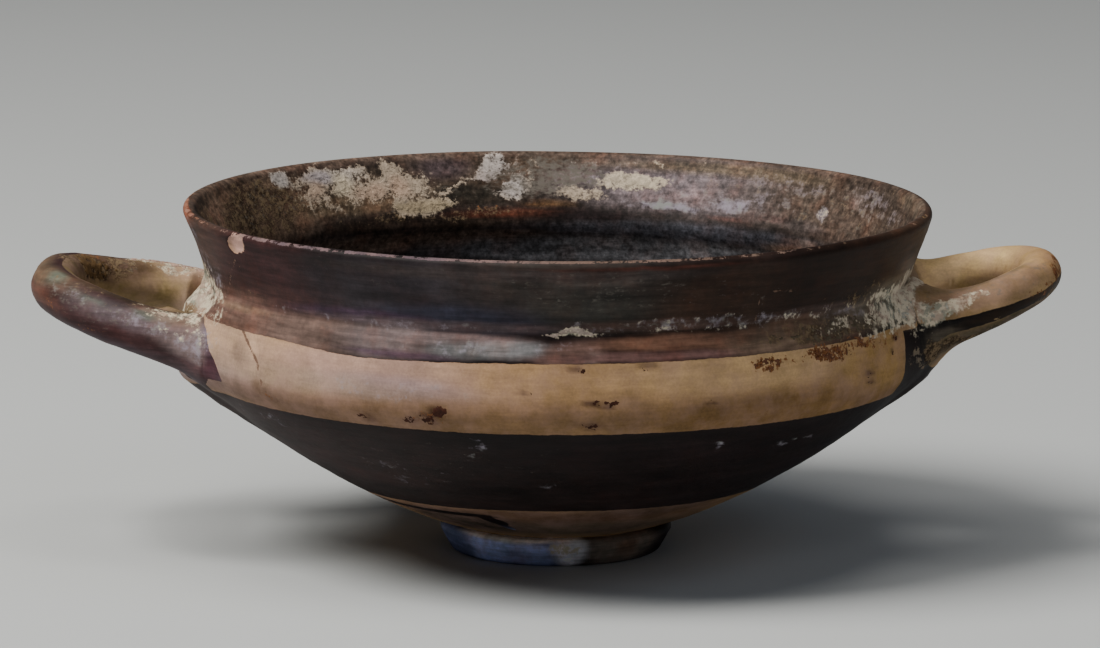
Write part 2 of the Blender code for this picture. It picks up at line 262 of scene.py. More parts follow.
def rod_route(
    place, side, overhang, spread, root_drop, tip_rise, tip_rod, root_rod, roundness, pinch, turn, sag, lift,
    **others,
):
    """Middle and radius of a handle's rod at places from -1, at the front root, to 1, at the back one.

    With an angle from -90 to 90 degrees, reach and rise go with its cosine, and the place across goes
    with its sine raised to the roundness, drawn in by the pinch near the roots. Beyond the roots the rod
    runs on straight into the wall. The back strand sags half-way and is lifted at its root.
    """
    inner = np.clip(place, -1, 1)
    angle = np.sign(inner) * np.pi / 2 * np.abs(inner) ** (1 / roundness)
    share = np.cos(angle)
    bow = np.sign(angle) * np.abs(np.sin(angle)) ** roundness
    across = spread / 2 * bow * (1 - pinch * (1 - share) ** 2)
    start = np.sqrt((BELLY_RADIUS - WALL) ** 2 - (spread / 2 * (1 - pinch)) ** 2)
    out = start + (BELLY_RADIUS + overhang - tip_rod / 2 - start) * share
    height = NECK_HEIGHT - root_drop + tip_rise * share
    height = height + sag * smooth(0.05, 0.35, place) * smooth(0.75, 0.5, place)
    height = height + lift * smooth(0.55, 0.9, place)
    radius = (root_rod + (tip_rod - root_rod) * share) / 2
    x = side * (out * np.cos(turn) - across * np.sin(turn))
    y = out * np.sin(turn) + across * np.cos(turn)
    x = x - side * ROOT_SINK * np.maximum(np.abs(place) - 1, 0) * 10
    return np.stack([x, y, height], -1), radius


def rod_frame(ahead, side):
    """The directions out of the loop and up over the rod, square to the way ahead along it."""
    ahead = ahead / np.linalg.norm(ahead, axis=-1, keepdims=True)
    sideways = side * np.cross(ahead, [0.0, 0.0, 1.0])
    sideways = sideways / np.linalg.norm(sideways, axis=-1, keepdims=True)
    return sideways, side * np.cross(sideways, ahead)


def rod_surface(handle, place, spoke):
    """Points of a handle's skin: rings of spokes round the route, a little kneaded.

    A spoke at 0 degrees points away from the loop and one at 90 upwards.
    """
    size = HANDLES[handle]
    place, spoke = np.broadcast_arrays(place, spoke)
    centre, radius = rod_route(place, **size)
    ahead = rod_route(place + 1e-3, **size)[0] - rod_route(place - 1e-3, **size)[0]
    sideways, upwards = rod_frame(ahead, size["side"])
    angle = np.radians(spoke)[..., None]
    outward = np.cos(angle) * sideways + np.sin(angle) * upwards
    for lump, depth, seed in KNEADING:
        radius = radius + depth * grain(centre + outward * 5, lump, seed)
    return centre + outward * radius[..., None] + [AXIS_X, 0, 0]


# The middle line and radii of each rod, and the bowl's outside below its neck in fewer points
LINES = {handle: rod_route(np.linspace(-1.1, 1.1, 221), **HANDLES[handle]) for handle in HANDLES}
BELOW_NECK = np.vstack([SHOULDER[::10], UNDERSIDE[10::10]])


def rod_clearance(points, handle):
    """How far points stand off a handle's rod: their distance from its middle line, less its radius."""
    centres, radii = LINES[handle]
    gaps = np.linalg.norm((points - [AXIS_X, 0, 0])[:, None] - centres[None], axis=-1) - radii
    return gaps.min(-1)


def smeared(points, handle):
    """Points of the joined skin moved out to where the potter smeared clay into the handle's roots.

    The bowl's and the rod's clearances are joined by a smooth minimum, which sinks below the plain one
    where both are small. Each point is stepped along its slope until the smooth value is what the plain
    one was. It is smeared further within the loop, where the thumb went.
    """
    size = HANDLES[handle]

    def stand(place):
        turn, loop = size["turn"], size["spread"] / 2
        within = np.abs(place[:, 1] * np.cos(turn) - place[:, 0] * np.sin(turn) * size["side"])
        reach = 1.1 * size["fillet"] + size["web"] * smooth(loop - 1, loop - 7, within)
        bowl_gap = clearance(np.hypot(place[:, 0] - AXIS_X, place[:, 1]), place[:, 2], BELOW_NECK)
        rod_gap = rod_clearance(place, handle)
        both = np.maximum(1 - np.abs(bowl_gap - rod_gap) / reach, 0)
        plain = np.minimum(bowl_gap, rod_gap)
        return plain, plain - both ** 2 * reach / 4

    # Only points of the skin that the smear reaches are moved
    plain, blend = stand(points)
    moving = (np.abs(plain) < 0.45) & (blend < plain - 0.002)
    place, target = points[moving], plain[moving]
    for _ in range(8):
        here = stand(place)[1]
        slope = np.stack([stand(place + step)[1] - here for step in 0.02 * np.eye(3)], -1) / 0.02
        steep = np.maximum((slope ** 2).sum(-1), 0.05)
        place = place + slope * np.clip((target - here) / steep, -0.8, 0.8)[:, None]
    moved = points.copy()
    moved[moving] = place
    return moved


def edited(mesh, change):
    """Changes a mesh by a step that takes it in Blender's editing form."""
    edit = bmesh.new()
    edit.from_mesh(mesh)
    change(edit)
    edit.to_mesh(mesh)
    edit.free()


def mesh_object(name, points, faces):
    """A mesh object from points in millimetres and rows of corner indices, with its normals outwards."""
    mesh = bpy.data.meshes.new(name)
    mesh.from_pydata((np.asarray(points) * MM).tolist(), [], faces)
    edited(mesh, lambda edit: bmesh.ops.recalc_face_normals(edit, faces=edit.faces))
    mesh.shade_smooth()
    made = bpy.data.objects.new(name, mesh)
    bpy.context.scene.collection.objects.link(made)
    return made


def ring_solid(name, rings, ends=None):
    """A closed solid from rings of points, each joined to the next, shut by end points or flat caps."""
    rows, count = rings.shape[:2]
    index = np.arange(rows * count).reshape(rows, count)
    after = np.roll(index, -1, axis=1)
    faces = np.stack([index[:-1], after[:-1], after[1:], index[1:]], -1).reshape(-1, 4).tolist()
    points = rings.reshape(-1, 3)
    if ends is None:
        faces += [index[0, ::-1].tolist(), index[-1].tolist()]
        return mesh_object(name, points, faces)
    tips = np.full((2, count), [[rows * count], [rows * count + 1]])
    faces += np.stack([tips[0], after[0], index[0]], -1).tolist()
    faces += np.stack([tips[1], index[-1], after[-1]], -1).tolist()
    return mesh_object(name, np.vstack([points, ends]), faces)


def spaced(low, high, step):
    """Even places from low up to, and not with, high, about a step apart."""
    return np.linspace(low, high, max(int(round((high - low) / step)), 1), endpoint=False)


def read(items, name, kind=np.float32):
    """A value of three parts for each item of a mesh, as rows."""
    values = np.empty(len(items) * 3, kind)
    items.foreach_get(name, values)
    return values.reshape(-1, 3)


# The bowl, in rings that crowd at the rim and in spokes that crowd at the spall and at the front's two
# sides, where the crusts lie. Each handle is cut to the middle of the wall and joined to it. A loose corner
# on the seams, with only two edges, is taken out, and clay is smeared into the roots
travels = np.concatenate([
    spaced(1.2, INSIDE_TOP - 34, 2.0), spaced(INSIDE_TOP - 34, INSIDE_TOP - 0.4, 0.72),
    spaced(INSIDE_TOP - 0.4, OUTSIDE_TOP + 0.4, 0.28), spaced(OUTSIDE_TOP + 0.4, NECK_TRAVEL, 0.5),
    spaced(NECK_TRAVEL, BELLY_TRAVEL, 0.55), spaced(BELLY_TRAVEL, SHELF_TRAVEL - 1.5, 1.25),
    TRAVEL[shelf_row:-1], spaced(TRAVEL[-2] + 2, TRAVEL[-1] - 1, 3.5),
])
dial = np.linspace(-180, 180, 3601)
crowd = 1 + 2.4 * np.exp(-((dial - SPALL[0]) / 3.6) ** 2)
crowd += 0.7 * np.exp(-((dial + 19) / 8) ** 2) + 0.7 * np.exp(-((dial + 157) / 8) ** 2)
summed = np.concatenate([[0], np.cumsum((crowd[1:] + crowd[:-1]) / 2)])
azimuths = np.interp(np.linspace(0, summed[-1], 341)[:-1], summed, dial)
cup = ring_solid(
    "bowl", bowl_surface(azimuths[None, :], travels[:, None]),
    [(AXIS_X, 0, SECTION[0, 1]), (AXIS_X, 0, SECTION[-1, 1])],
)
turn = np.radians(np.arange(0, 360, 2.0))[None, :]
out, up = HALF_WALL[::6, :, None].swapaxes(0, 1)
seat = ring_solid("seat", np.stack([AXIS_X + out * np.cos(turn), out * np.sin(turn), up + 0 * turn], -1))
even = np.linspace(-1, 1, 121)
places = np.concatenate([[-1.1], even + 0.45 * np.sin(np.pi * even) / np.pi, [1.1]])
for handle in HANDLES:
    spokes = np.arange(0, 360, 11.25)
    rod = ring_solid(handle + "_rod", rod_surface(handle, places[:, None], spokes[None, :]))
    cut = rod.modifiers.new("seat", "BOOLEAN")
    cut.operation, cut.solver, cut.object = "DIFFERENCE", "MANIFOLD", seat
    join = cup.modifiers.new(handle, "BOOLEAN")
    join.operation, join.solver, join.object = "UNION", "MANIFOLD", rod
bpy.context.view_layer.update()
joined = bpy.data.meshes.new_from_object(cup.evaluated_get(bpy.context.evaluated_depsgraph_get()))
edited(joined, lambda edit: bmesh.ops.dissolve_verts(
    edit, verts=[corner for corner in edit.verts if len(corner.link_edges) == 2],
))
for helper in [cup, seat] + [bpy.data.objects[handle + "_rod"] for handle in HANDLES]:
    bpy.data.objects.remove(helper)
skin_points = read(joined.vertices, "co").astype(float) / MM
for handle, (centres, _) in LINES.items():
    gaps = np.linalg.norm(skin_points[:, None] - [AXIS_X, 0, 0] - centres[::20][None], axis=-1)
    near = np.flatnonzero(gaps.min(-1) < 24)
    skin_points[near] = smeared(skin_points[near], handle)
joined.vertices.foreach_set("co", (skin_points * MM).ravel())
joined.update()
joined.name = "fired_cup"
fired_cup = bpy.data.objects.new("fired_cup", joined)
bpy.context.scene.collection.objects.link(fired_cup)
joined.shade_smooth()


def linear(code):
    """An sRGB hex colour turned linear."""
    parts = [int(code[i:i + 2], 16) / 255 for i in (1, 3, 5)]
    return [part / 12.92 if part <= 0.04045 else ((part + 0.055) / 1.055) ** 2.4 for part in parts] + [1.0]


def whereabouts(points):
    """Where points of the cup lie: azimuth, height, radius, whether inside, and for each handle the place
    along it, in hundredths, the spoke round it and how far the point is the handle's and not the bowl's."""
    x, y, height = points[:, 0] - AXIS_X, points[:, 1], points[:, 2]
    radius = np.hypot(x, y)
    halfway = np.interp(height, HALF_WALL[::-1, 1], HALF_WALL[::-1, 0])
    found = dict(azimuth=np.degrees(np.arctan2(y, x)), height=height, radius=radius)
    found["inside"] = ((height > 7) & (radius < halfway)).astype(float)
    for handle, size in HANDLES.items():
        centres, radii = LINES[handle]
        sideways, upwards = rod_frame(np.gradient(centres, axis=0), size["side"])
        place, spoke, share = np.zeros((3, len(points)))
        beside = (size["side"] * x > 55) & (height > 25) & (height < 68)
        near = np.flatnonzero(beside & (found["inside"] == 0))
        for part in np.array_split(near, len(near) // 20000 + 1):
            offset = points[part] - [AXIS_X, 0, 0]
            gaps = np.linalg.norm(offset[:, None] - centres[None], axis=-1) - radii
            closest = gaps.argmin(-1)
            offset = offset - centres[closest]
            place[part] = 100 * np.linspace(-1.1, 1.1, len(centres))[closest]
            turned = (offset * upwards[closest]).sum(-1), (offset * sideways[closest]).sum(-1)
            spoke[part] = np.degrees(np.arctan2(*turned))
            bowl_gap = clearance(radius[part], height[part], BELOW_NECK)
            share[part] = smooth(-1.6, 1.6, bowl_gap - gaps.min(-1)) * smooth(-0.3, 0.3, bowl_gap)
        found[handle] = (place, spoke, share)
    return found


def spread_over(points, where, rows):
    """The strongest of soft ragged ovals laid on the bowl's outside or inside, or on a handle.

    The rows are listed under the side that they lie on. On the bowl they go by azimuth and height, and
    on a handle by place and spoke. Their outlines stray by a few millimetres, as a stain's do.
    """
    sway, lift = (
        grain(points, 4.6, seed) + 0.6 * grain(points, 2.0, seed + 1) + 0.2 * grain(points, 0.9, seed + 2)
        for seed in (21, 31)
    )
    total = np.zeros(len(points))
    on_bowl = 1 - where["left"][2] - where["right"][2]
    for side, listed in rows.items():
        if side in HANDLES:
            place, spoke, share = where[side]
            found = blots(place + 3.0 * sway, spoke + 14 * lift, listed) * share
        else:
            share = where["inside"] if side == "inside" else (1 - where["inside"]) * on_bowl
            found = blots(where["azimuth"] + 1.3 * sway, where["height"] + 0.8 * lift, listed) * share
        total = np.maximum(total, found)
    return total


where = whereabouts(skin_points)
azimuth, height, radius, inside = (where[key] for key in ("azimuth", "height", "radius", "inside"))

# How far each point lies within the slip's edge, in millimetres: the shoulder and lip, the dark band, the
# foot, the panels round the handles' roots, the line over the foot and the outer face of each handle. A
# degree is worth some millimetres round the belly, and fewer round a handle's rod
DEGREE, ROD_DEGREE = 1.28, 0.08
shoulder_edge = np.interp(
    azimuth, [-155, -137, -124, -118, -108, -98, -60, -20, 30, 75, 120, 165],
    [50.25, 50.35, 49.35, 49.3, 49.6, 49.85, 49.95, 49.8, 50.1, 49.6, 50.0, 49.7], period=360,
)
low_edge = np.interp(
    azimuth, [-150, -120, -90, -60, 0, 90, 150], [15.0, 15.4, 15.85, 15.8, 15.6, 15.9, 15.5], period=360,
)
turned_in = np.interp(height, [38.5, 40, 43, 45, 47, 49], [153.4, 153.6, 155.4, 157.0, 158.2, 159])
panel_left = np.minimum.reduce([(np.abs(azimuth) - turned_in) * DEGREE, height - 38.9, 48.2 - height])
panel_right = np.minimum.reduce([(21.6 - np.abs(azimuth)) * DEGREE, height - 35, 48.8 - height])
ring_line = 0.2 - np.abs(height - 13.4) + 0.3 * smooth(-96, -112, azimuth) - 1.2 * smooth(-112, -92, azimuth)
line_end = blots(azimuth, height, [(-109, 11.9, 3.0, 1.2, 1.4, -1.6), (-106.8, 10, 1.6, 1.0, 1.2, -1.5)])
painted = np.maximum.reduce([
    height - shoulder_edge, np.minimum(36.08 - height, height - low_edge),
    np.minimum(6.3 - height, radius - 20.6), panel_left, panel_right,
    np.where(np.abs(azimuth + 140) < 50, ring_line, -2), 2.5 * (line_end - 0.6),
])
painted = painted - 9 * blots(azimuth, height, [(179, 53, 15.5, 6), (-1, 55.6, 17.5, 4.6)])
painted = np.where(inside > 0, 6.0, painted)
FACE_LIMITS = {
    "left": [([-100, 0, 100], [104, 112, 92]), ([-100, 100], [-112, -112])],
    "right": [
        ([-100, -80, -60, -40, -20, 0, 40, 100], [22, 10, 2, -4, 2, 8, 58, 74]),
        ([-100, -92, -82, -60, -35, -10, 20, 100], [-80, -40, -22, -30, -30, -45, -112, -112]),
    ],
}
for handle, limits in FACE_LIMITS.items():
    place, spoke, share = where[handle]
    top, low = (np.interp(place, *limit) for limit in limits)
    painted = painted * (1 - share) + np.minimum(top - spoke, spoke - low) * ROD_DEGREE * share

# The tone of the slip, which fired from blue-black through brown to red as it was laid on thick or thin,
# and of the bare clay, each as a ground colour with layers of other colours, and each layer's ovals. Some
# layers are painted light and shade, not the clay's own colour: each is marked where it stands
SLIP_TONES = {
    "outside": ("#181010", [
        ("#4c3a34", (-163, 62, 16, 9)), ("#3b2526", (-142, 61, 15, 9, 0.9)),
        # 322d31 and #2e2e3b, grey-blue on the lip's left, are a painted reflection of the light on the slip
        ("#3f2a28", (-144, 58.5, 14, 2, 0.9)), ("#322d31", (-114, 62, 17, 8)),
        ("#2e2e3b", (-104, 58, 15, 2.6)), ("#3a2c3a", (-122, 57, 12, 1.4, 0.9)),
        ("#4a3630", (-152, 56.6, 12, 1.4)), ("#403a37", (-88, 65, 15, 6, 0.9)),
        ("#38281f", (-62, 60, 14, 8, 0.9)), ("#34332f", (-84, 60, 9, 4, 0.7)),
        ("#261810", (-40, 62, 15, 9)), ("#5a524e", (-84, 66.6, 8, 1.8, 0.8)), ("#37271a", (-16, 63, 18, 8)),
        ("#584838", (-19, 59.6, 7, 3)), ("#53433a", (90, 70.6, 95, 2.4)),
        ("#4f2f27", (-78, 68.2, 14, 0.4, 0.9)), ("#443b3a", (-98, 67, 26, 1.2, 0.8)),
        ("#504548", (-106, 56.4, 22, 0.9, 0.9)),
        ("#4d3c36", (-74, 56.6, 15, 1.1, 0.9), (-42, 56.6, 14, 1.1, 0.8)),
        ("#7d4c38", (-174, 68.6, 9, 1.6)), ("#675149", (-152, 52.6, 16, 3)),
        ("#7d6656", (-150, 54.3, 12, 0.6, 0.8)), ("#563f36", (-152, 51, 10, 0.8, 0.8)),
        ("#69564f", (-131, 52.6, 12, 3)), ("#6e6161", (-117, 52.6, 9, 3)),
        # 7b6b6b and #777678 on the shoulder are a painted highlight on the slip
        ("#7b6b6b", (-107, 53.9, 11, 1.1, 0.9)), ("#777678", (-99.5, 52.2, 9, 1.5, 1, 0.9)),
        ("#503f4c", (-115, 50.6, 9, 0.7, 0.9)), ("#6a524b", (-88, 51.6, 4.4, 2.4, 1, 0.9)),
        ("#84766f", (-84.6, 50.9, 1.8, 0.9, 0.9)), ("#84604e", (-70, 53.3, 12, 1.3)),
        ("#715450", (-76, 50.9, 16, 0.9, 0.9)), ("#705c4d", (-50, 52.6, 12, 3)),
        ("#66594e", (-34, 53.6, 10, 2.6)), ("#4d3a30", (-40, 51, 8, 1, 0.8)),
        ("#625a4c", (-22, 54.6, 13, 4.4)), ("#2e1f1f", (-150, 32, 22, 6, 0.9), (-138, 25, 20, 7, 0.8)),
        ("#231817", (-118, 27, 14, 9, 0.7)), ("#251c1b", (-85, 17.6, 62, 3.4)),
        ("#1e1615", (-68, 24, 40, 4, 0.8)), ("#695e68", (-162, 47.2, 8, 1.8)),
        ("#55434b", (-160, 44.4, 9, 1.4, 0.9)), ("#3f2a32", (-157, 41, 9, 2.6)),
        # The pale blue #b4c2f8 and #6f7aa4 on the foot are a painted reflection of the floor. #f2f2fc is a
        # lime patch, made near white partly as painted light against the shade under the bowl. #ffffff is a
        # painted highlight along the foot's top edge
        ("#b4c2f8", (-116, 4, 28, 5)), ("#6f7aa4", (-156, 4, 18, 5, 0.9)), ("#857a70", (-54, 4, 24, 4)),
        ("#f2f2fc", (-83, 3.4, 7.5, 3)), ("#8a6650", (-52, 3.5, 6, 1.6, 0.7)),
        ("#40404a", (-98, 3, 60, 0.5, 0.6)), ("#ffffff", (-112, 5.5, 30, 0.45)),
    ]),
    "inside": ("#2a2422", [
        # 6b5b50 and #5c5d62, low on the inside, are painted light: brightened against the shade deep in the
        # bowl
        ("#6b5b50", (130, 52.4, 34, 2)), ("#5c5d62", (80, 49.8, 34, 2.8)), ("#a88c7a", (42, 53.8, 7, 1.6)),
        ("#4d4136", (150, 64, 60, 5), (90, 66, 50, 3.6, 0.8)),
        ("#2c231d", (124, 57, 14, 1.7), (108, 56.2, 10, 1.5)), ("#6b5748", (160, 62, 20, 8)),
        ("#6c594c", (172, 64, 6, 3.6)), ("#6c5c4a", (128, 61.5, 13, 2, 0.9)),
        ("#3f3536", (110, 67.4, 5.4, 2.8)), ("#2e2b25", (104, 62, 7, 1.8, 0.9)),
        ("#4b2c21", (98, 57.8, 12, 0.9, 0.9)), ("#5a3427", (102, 57.6, 5, 0.55, 0.9)),
        ("#57412c", (91, 59.6, 4, 0.6, 0.9)), ("#6a6064", (64, 64, 24, 5)), ("#53473f", (30, 63.5, 26, 6)),
        ("#5f5243", (56, 67.6, 26, 1.2, 0.9)), ("#3d3e45", (64, 54.6, 28, 1.8)),
        ("#1c1516", (84, 57.2, 9, 1.2)), ("#5d4440", (58, 57.9, 3, 0.45, 0.9), (48, 58.9, 3, 0.4, 0.7)),
        ("#51463f", (24, 67.4, 15, 2.4)), ("#877873", (29.4, 65.2, 2, 1.4, 0.9)),
        ("#6e6052", (2, 68.8, 14, 2)), ("#4a3f39", (29, 61, 6, 1.8, 0.9)),
        ("#504745", (42, 58.4, 5, 1.2, 0.8)), ("#4f4138", (12, 62, 18, 4, 0.8)),
        ("#57483f", (90, 70.4, 100, 1.6, 0.8)), ("#3c342e", (-10, 62, 30, 8, 0.9)),
        ("#261d18", (-90, 60, 60, 10, 0.9)),
    ]),
    "left": ("#3d2b2b", [
        ("#3d2728", (-64, -20, 36, 26)), ("#42343a", (-80, -60, 50, 24)), ("#52464a", (-74, 34, 24, 28)),
        ("#7d6d6d", (-96, 12, 10, 26)), ("#4d3c3f", (-97, -34, 14, 18)),
        ("#584c3e", (-16, 56, 34, 36, 0.9)), ("#3b3027", (-64, 92, 30, 14)),
        ("#6b5c52", (-88, 66, 12, 24, 0.9)), ("#565e54", (-38, 64, 6, 22, 0.8)),
        ("#4f5a52", (-62, 46, 5, 10, 0.6), (-80, 50, 4, 10, 0.6)), ("#6b4a3c", (-30, 0, 18, 20, 0.5)),
    ]),
    "right": ("#171414", [
        ("#5a5247", (-84, -20, 6, 18, 0.9)), ("#2e2013", (-50, -14, 30, 14, 0.8)),
        ("#382615", (-26, 0, 16, 22, 0.9)),
    ]),
}
SPECKS = [
    (-107.5, 40.2, 1.2, 1, 0.9), (-108.8, 38.8, 1.1, 1, 0.85), (-112.4, 37.9, 1.3, 0.7, 0.85),
    (-110.3, 39.2, 1.2, 0.7, 0.8), (-94.5, 44.6, 0.8, 0.5, 0.6), (-84.5, 42.4, 1.4, 0.5, 0.8),
    (-82.4, 41.9, 0.9, 0.5, 0.7), (-84.3, 37.9, 1.6, 0.7, 0.75), (-87, 49.1, 1.2, 0.7, 0.7),
    (-76, 49.3, 1.2, 0.7, 0.55), (-66.5, 41.5, 0.8, 0.5, 0.6), (-33.5, 42.9, 0.8, 0.6, 0.7),
    (-33.5, 41.2, 0.8, 0.5, 0.65), (-26.5, 45.3, 0.8, 0.5, 0.7), (-25, 47.8, 0.9, 0.7, 0.7),
    (-120, 37.4, 1.3, 0.6, 0.7),
]
BACK_WALL_TINTS = [
    ("#bfb3a6", (129.6, 67.4, 5, 1.8)), ("#aaa0a2", (134.6, 67.5, 3, 1.5, 0.9), (100, 66, 4, 4, 0.7)),
    ("#c2b49c", (129.8, 65.4, 2.2, 2.2, 0.9)), ("#a29276", (114, 59.7, 7, 1.4, 0.8)),
    ("#b39a86", (123, 63.4, 2.6, 1.8), (136.2, 65, 2, 1.8, 0.8), (118.2, 64.2, 1.8, 2.2),
        (126.4, 63.4, 1.6, 1.4, 0.8)),
    ("#aea6a1", (97.4, 62.8, 2.6, 2.8), (100.6, 68, 2.6, 2.2, 0.9), (143.4, 68.2, 2.8, 1.8)),
    ("#bdb09c", (77, 64.1, 7, 2.2, 0.9)),
]
CLAY_TONES = {
    "outside": ("#a8875f", [
        # 8f7d79, #6f5747, #846749 and #735736 make the reserved band darker towards its bottom, where the
        # belly turns under
        ("#b3957c", (-152, 47.5, 14, 5)), ("#8f7d79", (-156, 39.6, 22, 3.6, 0.9)),
        ("#ad8e80", (-118, 47, 22, 5, 0.9)), ("#96828a", (-116, 43.8, 14, 2.4, 0.7)),
        ("#6f5747", (-118, 38.4, 40, 4, 0.9)), ("#a5845f", (-88, 47, 18, 5, 0.8)),
        ("#846749", (-84, 38, 34, 5, 0.9)), ("#bd9c72", (-58, 47.5, 20, 4, 0.9)),
        ("#9c8674", (-138, 43.6, 26, 2.4, 0.7)),
        ("#735736", (-52, 38.2, 24, 4.4, 0.9), (-29, 37.6, 12, 2.2, 0.9)),
        # 664c3f, #5c493e, #66594c and #3c342e darken the clay of the strip under the belly: painted shade
        ("#98784a", (-26, 45, 14, 6, 0.9)), ("#664c3f", (-100, 13.4, 60, 2.6, 0.9)),
        ("#5c493e", (-62, 15.6, 20, 1.8, 0.8)), ("#66594c", (-84, 9.6, 50, 2.4, 0.9)),
        ("#3c342e", (-122, 11, 20, 3, 0.9)), ("#5b4d53", (-112, 70, 48, 2.6)),
        ("#8f7868", (-147.4, 45.8, 2.2, 2.4, 0.7)),
        ("#66503f", (-142.4, 40.4, 1.7, 1.6, 0.7), (-139.6, 39, 1.4, 1.2, 0.6)),
        ("#7d5443", (-172, 70, 14, 2.6)), ("#4d3d2b", (-38, 70, 30, 2.6)),
        ("#57483f", (-72, 70.4, 26, 2.4)), ("#7d6c60", (178, 53, 18, 9)), ("#776852", (0, 53, 20, 7)),
        ("#a28a72", (-166, 48, 6, 1.2, 0.9)), ("#c9a294", (-146.9, 67.5, 3, 2.1)),
        ("#6a6253", (-16, 43.4, 5, 4)), ("#2c140c", *SPECKS),
    ]),
    "inside": ("#ac9c8a", BACK_WALL_TINTS + [("#5f5253", (-112, 70.6, 60, 1.6))]),
    "left": ("#7b6846", [
        ("#a58b6c", (84, 110, 20, 70, 0.9)), ("#c9ac98", (94, 150, 11, 90), (94, -160, 11, 50)),
        ("#5d4f41", (-50, 100, 60, 30, 0.7)), ("#5a4632", (36, 150, 22, 60)),
        ("#402c1c", (46, 172, 14, 26)), ("#523b2b", (44, 128, 13, 22, 0.9)),
        ("#463524", (14, 140, 12, 36, 0.9)), ("#5d4e38", (-4, 124, 16, 50, 0.9)),
        ("#8f7b58", (72, 175, 24, 30, 0.8)), ("#5c4c3c", (42, 96, 24, 14)),
        ("#4c3b2d", (60, 134, 15, 32, 0.9)), ("#a08d89", (-98, -120, 20, 40)), ("#ae9c90", (86, 8, 9, 26)),
    ]),
    "right": ("#a0845a", [
        # d4b68c is painted light: the back strand's inner face brightened near the root, against the shade in
        # the loop
        ("#c0a476", (60, 150, 40, 50, 0.9)), ("#d4b68c", (67, 158, 8, 26, 0.9)),
        ("#93714f", (-56, 62, 30, 22, 0.8)), ("#937247", (-8, 40, 20, 60, 0.8)),
        # 5f513d along the front rod's top edge, spokes near 96, is painted shade where it meets the loop
        ("#7f6750", (-62, 50, 34, 40, 0.9)), ("#5f513d", (-80, 96, 24, 16, 0.8), (-56, 96, 26, 12, 0.9)),
        ("#4b4536", (-50, -60, 50, 38)), ("#5b5543", (-88, -50, 14, 40, 0.9)),
    ]),
}


def toned(ground, layers, across, along):
    """A colour for each point: the ground with each layer's colour laid over it where its ovals are."""
    tone = np.tile(linear(ground)[:3], (len(across), 1))
    for code, *rows in layers:
        share = blots(across, along, rows)[:, None]
        tone = tone * (1 - share) + np.array(linear(code)[:3]) * share
    return tone


def tones(points, where, listed):
    """The colour of each point from the tones listed for the outside, the inside and each handle."""
    sway, lift = (grain(points, 5.0, seed) + 0.5 * grain(points, 2.0, seed + 2) for seed in (41, 42))
    across, along = where["azimuth"] + 1.2 * sway, where["height"] + 0.25 * lift
    tone = toned(*listed["outside"], across, along)
    tone = np.where(where["inside"][:, None] > 0, toned(*listed["inside"], across, along), tone)
    for handle in HANDLES:
        place, spoke, share = where[handle]
        tone += share[:, None] * (toned(*listed[handle], place + 2 * sway, spoke + 7 * lift) - tone)
    return tone


# Where lime, earth, rust and specks lie thick enough to be crusts of their own
CRUSTED = {
    "back_wall_lime": {"inside": [
        (143.4, 68, 2.8, 1.6, 0.86), (140, 66.4, 2.6, 1.4, 0.8), (134, 66.8, 4.6, 2.4),
        (129.6, 66.6, 2.6, 2.4), (126, 68, 2.4, 1, 0.85), (136.4, 63.8, 2.6, 1.6, 0.88),
        (123.4, 63.6, 3.2, 2, 0.95), (126.5, 63.4, 1.8, 1.4, 0.85), (119.8, 67.2, 1.8, 3, 0.95),
        (118, 64, 2.4, 2.6, 0.95), (118.6, 60.6, 2.4, 1.3, 0.9), (114.6, 59.6, 4.6, 2),
        (110.6, 60.4, 2.6, 1.3, 0.9), (107.4, 63.6, 1.5, 1.9, 0.88, -2.7), (101.6, 65.4, 2.6, 0.9, 0.8),
        (100.6, 67.8, 2.4, 2.4, 0.84), (97.2, 62.9, 2.4, 2.4, 0.84), (96, 66.4, 3, 3, 0.42),
        (85.4, 61.6, 3.8, 1.5, 0.85), (77, 64.1, 6.2, 1.6), (130, 64.2, 2, 1.6, 0.95),
        (115.4, 63.6, 2, 1.8, 0.8), (121, 64.6, 1.8, 1.6),
    ]},
    "left_wall_earth": {"inside": [(153, 63, 15, 6, 0.72), (162, 60, 9, 6, 0.6)]},
    "neck_lime": {"outside": [(-88.5, 55.4, 4, 0.6, 0.95)]},
    "left_root_lime": {
        "outside": [(-167, 55.4, 10, 1.6, 0.85)],
        "left": [(-89, 78, 13, 22, 0.7), (97, 110, 14, 90, 0.8), (-98, 90, 10, 40, 0.8)],
    },
    "right_root_lime": {
        "outside": [
            (-21, 53.6, 12, 3.2, 0.8), (-26, 56.8, 7, 1.8, 0.66), (-40, 53, 6, 1.2, 0.55),
            (-22, 50.2, 13, 1.4, 0.6), (-14.5, 51.8, 8, 4.6),
        ],
        "right": [(-92, 34, 12, 34, 0.98), (-82, 42, 10, 18, 0.95)],
    },
    "dark_specks": {"outside": SPECKS},
    "shoulder_rust": {"outside": [
        (-43.6, 48.5, 6.6, 2, 0.64), (-56, 47.9, 3.4, 1.7, 0.66), (-36, 48.9, 7, 1.5, 0.56),
        (-27, 48.6, 8, 1.2, 0.42),
    ]},
    "shoulder_earth": {"outside": [(-42, 52.6, 16, 2.4, 0.62)]},
    "left_handle_earth": {"left": [(34, 152, 20, 50, 0.9)]},
    "left_handle_lime": {"left": [(78, 95, 20, 24, 0.7)]},
    "right_handle_lime": {"right": [(-70, 46, 9, 12, 0.5)]},
}
